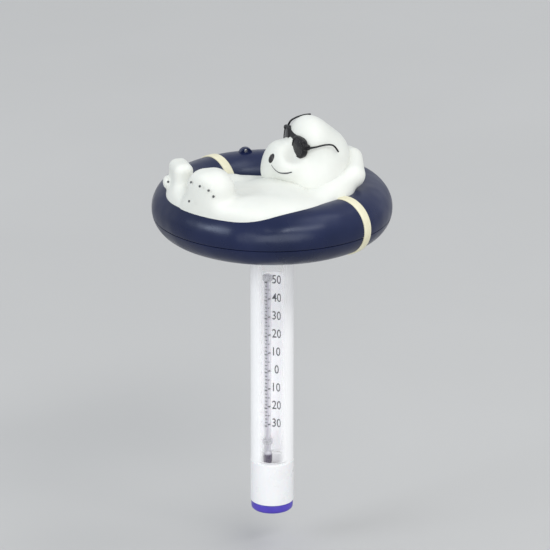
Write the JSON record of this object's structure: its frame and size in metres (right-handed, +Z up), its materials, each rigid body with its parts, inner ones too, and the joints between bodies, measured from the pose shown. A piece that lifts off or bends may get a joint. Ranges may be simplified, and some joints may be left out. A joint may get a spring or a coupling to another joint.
{
  "type": "floating pool thermometer",
  "caption": "Floating pool thermometer: clear scale tube hung under a swim-ring float that carries a lounging polar bear figure in sunglasses.",
  "frame": {"origin": "centre of the swim ring, on the mid-plane of its tube and on the thermometer's axis, close to the waterline", "axes": "+Z up along the thermometer tube, +X along the bear towards its head, -Y towards the side that the scale faces"},
  "size_m": [0.12, 0.12, 0.2118],
  "materials": {
    "navy_vinyl": "satin moulded PVC",
    "cream_band": "matt cream",
    "bear_white": "soft matt PVC",
    "glasses_black": "glossy black",
    "white_plastic": "satin moulded",
    "seal_rubber": "matt",
    "clear_tube": "clear moulded plastic",
    "stem_glass": "clear glass",
    "spirit": "violet spirit",
    "card": "printed card",
    "clip_plastic": "translucent grey",
    "foam": "white foam",
    "ballast_steel": "turned steel",
    "cap_blue": "satin moulded"
  },
  "bodies": {
    "float": {"ring_upper_shell": "navy_vinyl", "ring_lower_shell": "navy_vinyl", "front_band": "cream_band", "rear_band": "cream_band", "bear_body": "bear_white", "bear_head": "bear_white", "sunglasses_frame": "glasses_black", "near_lens": "glasses_black", "far_lens": "glasses_black", "near_temple": "glasses_black", "far_temple": "glasses_black"},
    "neck_seal": {"neck_o_ring": "seal_rubber"},
    "thermometer": {"neck_plug": "white_plastic", "outer_tube": "clear_tube", "scale_card": "card", "glass_stem": "stem_glass", "bulb_spirit": "spirit", "spirit_column": "spirit", "upper_stem_clip": "clip_plastic", "lower_stem_clip": "clip_plastic", "bulb_cushion": "foam", "ballast_cup": "white_plastic", "tube_gasket": "seal_rubber", "ballast_weight": "ballast_steel"},
    "meniscus": {"spirit_meniscus": "spirit"},
    "cap": {"bottom_cap": "cap_blue", "cap_o_ring": "seal_rubber"}
  },
  "joints": [
    {"name": "tube_pull", "type": "slide", "parent": "float", "child": "neck_seal", "axis": [0, 0, -1], "range_m": [0, 0.015]},
    {"name": "tube_turn", "type": "hinge", "parent": "neck_seal", "child": "thermometer", "pos_m": [0, 0, 0], "axis": [0, 0, 1], "continuous": true},
    {"name": "reading", "type": "slide", "parent": "thermometer", "child": "meniscus", "axis": [0, 0, 1], "range_m": [-0.0777, 0], "deforming": ["spirit_column"]},
    {"name": "cap_pull", "type": "slide", "parent": "thermometer", "child": "cap", "axis": [0, 0, -1], "range_m": [0, 0.0035]}
  ]
}
